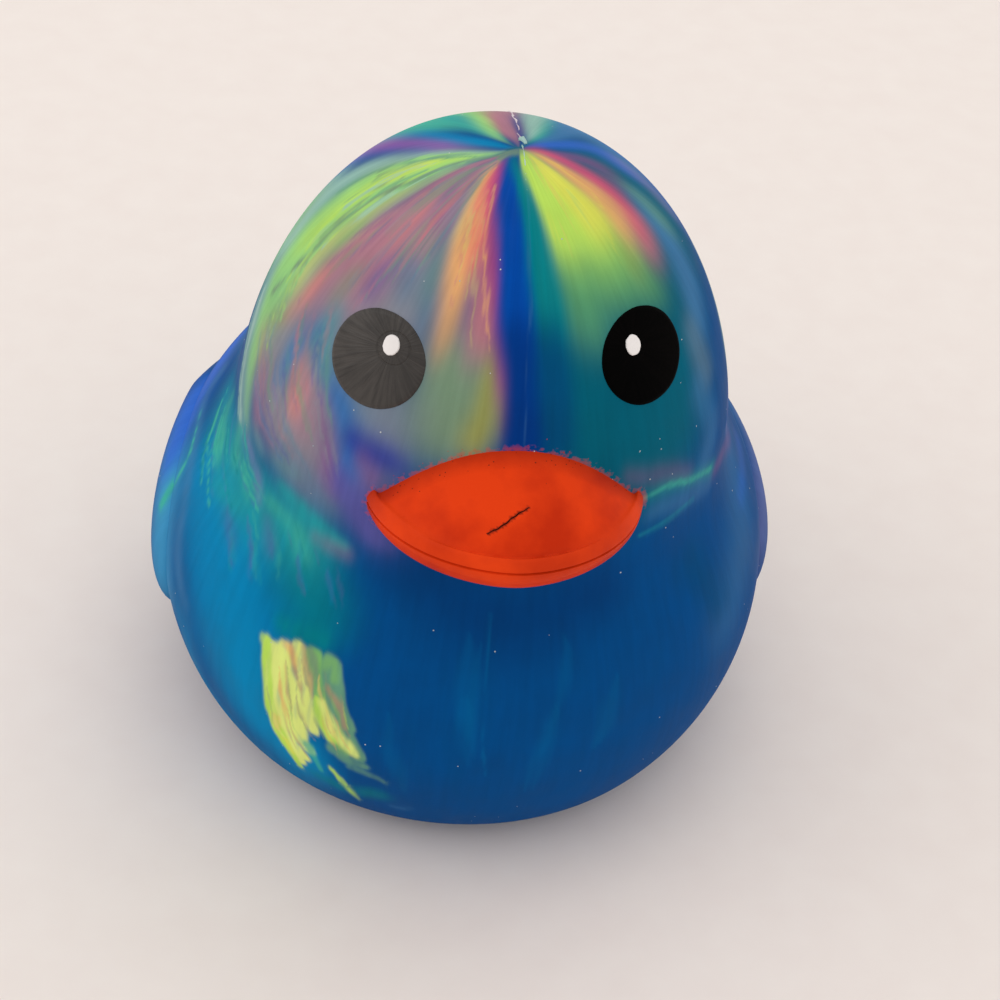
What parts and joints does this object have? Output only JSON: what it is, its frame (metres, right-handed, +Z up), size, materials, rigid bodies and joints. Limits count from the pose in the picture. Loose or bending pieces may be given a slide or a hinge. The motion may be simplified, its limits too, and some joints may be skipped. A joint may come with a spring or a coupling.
{
  "type": "rubber duck",
  "caption": "Hollow one-piece marbled rubber bath duck with a wide painted beak, round painted eyes, low side wings and a flat base to stand on.",
  "frame": {"origin": "centre of the flat base, on the surface that the duck stands on", "axes": "+Z up, -Y the way the duck looks, +X to its left side; X = 0 halves it"},
  "size_m": [0.09, 0.0996, 0.0966],
  "materials": {
    "marbled_rubber": "matt soft rubber, marbled in blue, teal, lime, salmon, mauve and violet",
    "beak_paint": "satin orange-red paint with fine dark speckle",
    "eye_paint": "satin black paint, finely wrinkled",
    "glint_paint": "matt off-white paint dot"
  },
  "bodies": {
    "root": {"duck_body": "marbled_rubber"}
  },
  "joints": []
}
